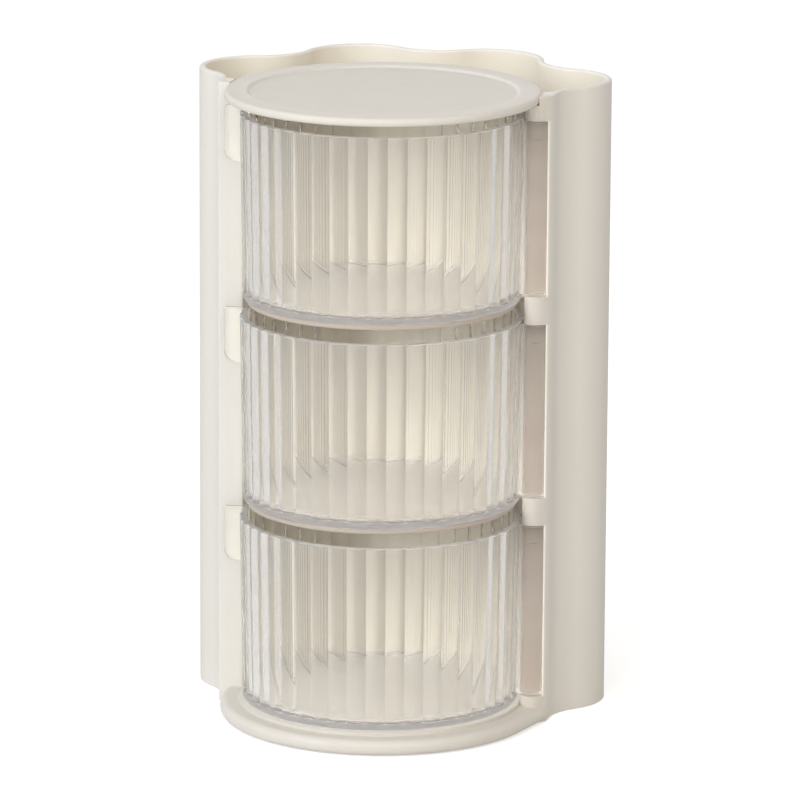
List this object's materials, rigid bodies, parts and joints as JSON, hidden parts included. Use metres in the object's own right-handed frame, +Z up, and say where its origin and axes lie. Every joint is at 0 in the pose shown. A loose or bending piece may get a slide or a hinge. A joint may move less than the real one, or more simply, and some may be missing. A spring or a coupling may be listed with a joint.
{
  "type": "rotating desk organizer",
  "caption": "Upright desk organizer: a lobed pen trough wrapped round a column of clear reeded drawers that swing out sideways on a hinge, under a round cover.",
  "frame": {"origin": "middle of the part's footprint, on the surface that it stands on", "axes": "+Z up, -Y towards the drawers' front, +X towards the hinge"},
  "size_m": [0.138, 0.1362, 0.21],
  "materials": {
    "cream_plastic": "satin",
    "clear_plastic": "clear, polished",
    "pad_rubber": "soft"
  },
  "bodies": {
    "frame": {"outer_shell": "cream_plastic", "well_floor": "cream_plastic", "drawer_column": "cream_plastic", "base": "cream_plastic", "top_cover": "cream_plastic", "shelf_middle": "cream_plastic", "shelf_upper": "cream_plastic", "hinge_pin_bottom": "clear_plastic", "hinge_pin_lower": "clear_plastic", "hinge_pin_upper": "clear_plastic", "hinge_pin_top": "clear_plastic", "pad_front_left": "pad_rubber", "pad_front_right": "pad_rubber", "pad_back_left": "pad_rubber", "pad_back_right": "pad_rubber"},
    "lower_drawer": {"drawer_lower": "clear_plastic"},
    "middle_drawer": {"drawer_middle": "clear_plastic"},
    "upper_drawer": {"drawer_upper": "clear_plastic"}
  },
  "joints": [
    {"name": "lower_drawer_swing", "type": "hinge", "parent": "frame", "child": "lower_drawer", "pos_m": [0.0506, -0.01309, 0.0376], "axis": [0, 0, 1], "range_deg": [0, 110]},
    {"name": "middle_drawer_swing", "type": "hinge", "parent": "frame", "child": "middle_drawer", "pos_m": [0.0506, -0.01309, 0.1049], "axis": [0, 0, 1], "range_deg": [0, 110]},
    {"name": "upper_drawer_swing", "type": "hinge", "parent": "frame", "child": "upper_drawer", "pos_m": [0.0506, -0.01309, 0.1722], "axis": [0, 0, 1], "range_deg": [0, 110]}
  ]
}
